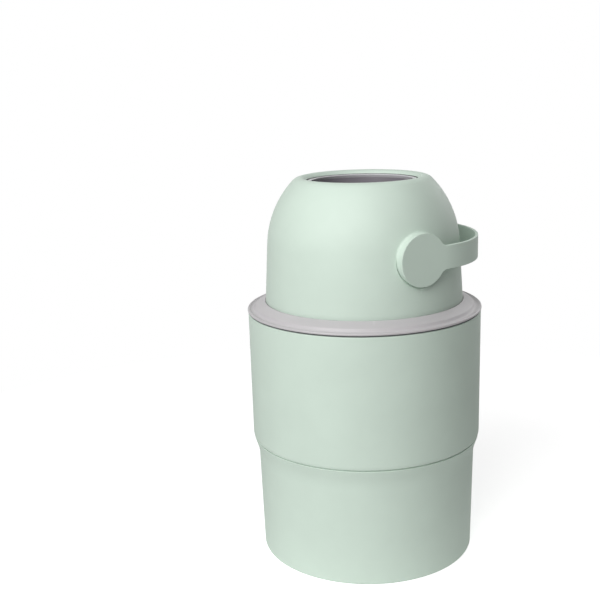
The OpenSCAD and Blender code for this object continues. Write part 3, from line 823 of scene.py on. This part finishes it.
class BinStudio(bpy.types.PropertyGroup):
    key_power: bpy.props.FloatProperty(
        name="Key light", description="Power of the large soft lamp on the left",
        default=28.7, min=0.0, unit="POWER")
    rim_power: bpy.props.FloatProperty(
        name="Rim light", description="Power of the soft lamp behind the bin on the right",
        default=8.0, min=0.0, unit="POWER")
    top_power: bpy.props.FloatProperty(
        name="Top light", description="Power of the soft lamp overhead",
        default=2.1, min=0.0, unit="POWER")
    sky: bpy.props.FloatProperty(
        name="Sky", description="Level of the even light from all round", default=0.11, min=0.0)
    lens: bpy.props.FloatProperty(
        name="Lens", description="Focal length of the camera", default=60.01,
        min=10, unit="CAMERA")


# ---- Operators ----

class BinFrame(bpy.types.Operator):
    """Finishes on the frame pieces that show as they are"""
    bl_idname = "nappy_bin.frame"
    bl_label = "Frame finishes"

    def execute(self, context):
        slots = {row["node"]: row["material_slot"] for row in frame["record"]["subparts"]}
        for name, node in frame["nodes"].items():
            give_finish(node, slots[name])
        return {"FINISHED"}


class BinBucket(bpy.types.Operator):
    """Tub and barrel with the parting line between them"""
    bl_idname = "nappy_bin.bucket"
    bl_label = "Bucket"

    def execute(self, context):
        stand_for(lathe("tub", tub_section()), "lower_tub", "sage_plastic")
        barrel = join(lathe("barrel", barrel_section()), *hinge_ears())
        stand_for(barrel, "upper_barrel", "sage_plastic")
        return {"FINISHED"}


class BinCollar(bpy.types.Operator):
    """Collar between bucket and dome"""
    bl_idname = "nappy_bin.collar"
    bl_label = "Collar"

    def execute(self, context):
        collar = join(lathe("collar", collar_section()), hinge_leaf())
        stand_for(collar, "collar_ring", "collar_plastic")
        return {"FINISHED"}


class BinMouthRings(bpy.types.Operator):
    """Rim at each end of the chute"""
    bl_idname = "nappy_bin.mouth_rings"
    bl_label = "Mouth rings"

    def execute(self, context):
        section = mouth_ring_section()
        for node, up in (("mouth_ring_upper", 1), ("mouth_ring_lower", -1)):
            ring = lathe(node, [(r, up * z) for r, z in section], PIVOT_Z)
            stand_for(ring, node, "light_grey_plastic")
        return {"FINISHED"}


class BinDome(bpy.types.Operator):
    """Dome shell with its rolled lip and two pads"""
    bl_idname = "nappy_bin.dome"
    bl_label = "Dome"

    def execute(self, context):
        sizes = context.scene.bin_sizes
        wall = dome_wall()
        pads = []
        for side in (-1, 1):
            cut_bore(wall, side)
            pads.append(pivot_pad(side, sizes.pad_fillet, sizes.pad_groove))
        stand_for(join(wall, *pads), "dome_shell", "sage_plastic")
        return {"FINISHED"}


class BinHandle(bpy.types.Operator):
    """Handle of two discs and a band"""
    bl_idname = "nappy_bin.handle"
    bl_label = "Handle"

    def execute(self, context):
        stand_for(handle(context.scene.bin_sizes.handle_edge), "handle", "sage_plastic")
        return {"FINISHED"}


class BinStage(bpy.types.Operator):
    """Floor, lamps, world and camera"""
    bl_idname = "nappy_bin.stage"
    bl_label = "Studio"

    def execute(self, context):
        studio = context.scene.bin_studio
        lay_floor()
        light_world(studio.sky)
        hang_lamp("key", (0.65, -1.36, 1.23), (0, 0, 0.25), 1.5, studio.key_power)
        hang_lamp("rim", (-0.6, 2.2, 1.0), (0, 0, 0.25), 1.2, studio.rim_power)
        hang_lamp("top", (0.42, -0.25, 1.2), (0, 0, 0.4), 0.8, studio.top_power)
        place_camera(studio.lens)
        return {"FINISHED"}


# ---- Panel and run ----

class BinPanel(bpy.types.Panel):
    """Lists the steps and settings of the bin"""
    bl_idname = "VIEW3D_PT_nappy_bin"
    bl_label = "Nappy Bin"
    bl_space_type = "VIEW_3D"
    bl_region_type = "UI"
    bl_category = "Nappy Bin"

    def draw(self, context):
        for group in (context.scene.bin_sizes, context.scene.bin_colours, context.scene.bin_studio):
            box = self.layout.box()
            for name in group.__annotations__:
                box.prop(group, name)
        for step in STEPS:
            self.layout.operator(step.bl_idname)


STEPS = (BinFrame, BinBucket, BinCollar, BinMouthRings, BinDome, BinHandle, BinStage)
GROUPS = {"bin_sizes": BinSizes, "bin_colours": BinColours, "bin_studio": BinStudio}


def register():
    for kind in (*GROUPS.values(), *STEPS, BinPanel):
        bpy.utils.register_class(kind)
    for name, kind in GROUPS.items():
        setattr(bpy.types.Scene, name, bpy.props.PointerProperty(type=kind))


def unregister():
    for name in GROUPS:
        delattr(bpy.types.Scene, name)
    for kind in reversed((*GROUPS.values(), *STEPS, BinPanel)):
        bpy.utils.unregister_class(kind)


def main():
    register()
    bpy.context.scene.view_settings.view_transform = "Standard"
    for step in STEPS:
        group, name = step.bl_idname.split(".")
        getattr(getattr(bpy.ops, group), name)()


if __name__ == "__main__":
    main()
